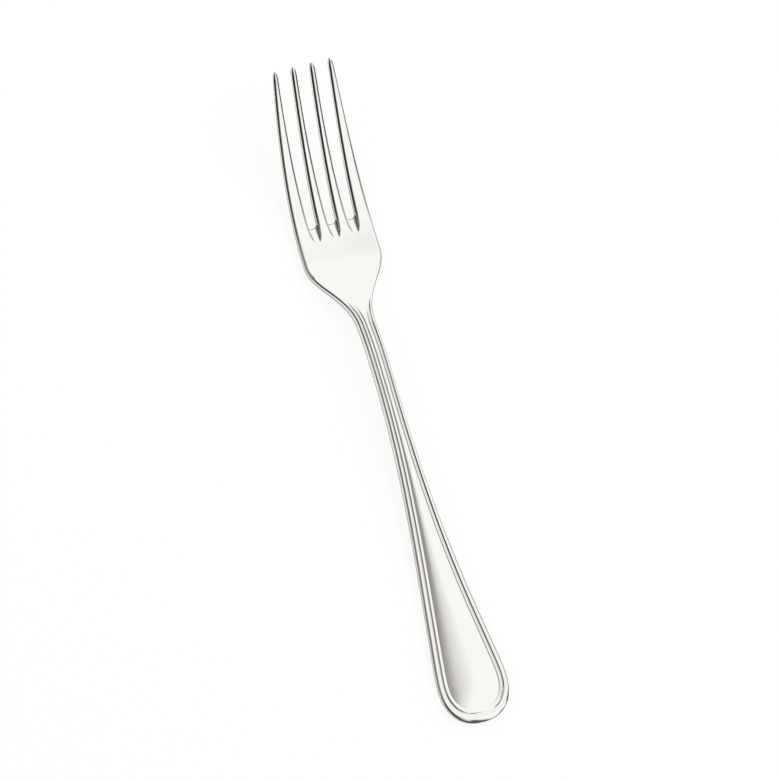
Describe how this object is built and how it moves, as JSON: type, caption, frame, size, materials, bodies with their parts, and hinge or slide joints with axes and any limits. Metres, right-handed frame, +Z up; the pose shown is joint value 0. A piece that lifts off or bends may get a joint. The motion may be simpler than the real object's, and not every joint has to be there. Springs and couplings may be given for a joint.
{
  "type": "dinner fork",
  "caption": "One-piece stainless steel dinner fork with a bordered, round-ended handle, an arched neck and slim pointed tines.",
  "frame": {"origin": "on the table, under the middle of the fork's box, with the fork lying on its back", "axes": "+Y along the fork from the handle's end to the tine points, +X to the right seen from above, +Z up from the table"},
  "size_m": [0.025, 0.2066, 0.0206],
  "materials": {
    "polished_steel": "mirror polished stainless steel"
  },
  "bodies": {
    "root": {"fork": "polished_steel"}
  },
  "joints": []
}
